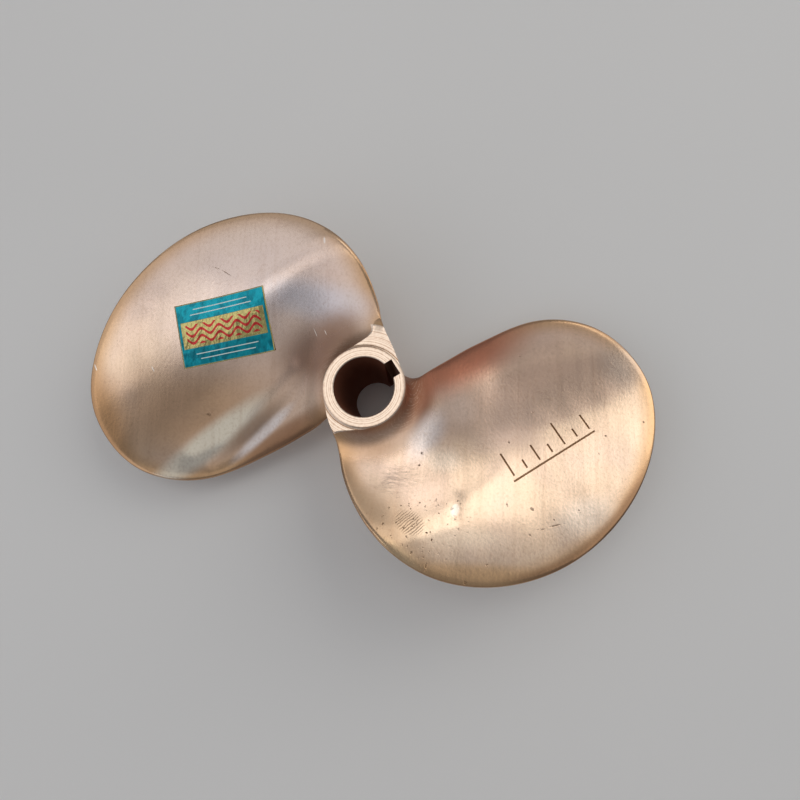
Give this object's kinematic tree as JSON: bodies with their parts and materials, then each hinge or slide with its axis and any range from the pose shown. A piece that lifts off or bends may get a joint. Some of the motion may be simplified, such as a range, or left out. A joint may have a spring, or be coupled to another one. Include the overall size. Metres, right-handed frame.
{
  "type": "boat propeller",
  "caption": "Left-handed bronze boat propeller with wide round blades, a tapered keyed bore and a foil label on a blade.",
  "frame": {"origin": "centre of the hub's lower face, on the shaft axis and on the floor that the propeller rests on", "axes": "+Z along the shaft axis towards the bore's wide end, +X towards one blade's tip"},
  "size_m": [0.3, 0.178, 0.0636],
  "materials": {
    "bronze": "ground and brushed, with darker cast patches",
    "foil": "glossy printed foil, teal with a gold panel"
  },
  "bodies": {
    "root": {"propeller_casting": "bronze", "foil_label": "foil"}
  },
  "joints": []
}
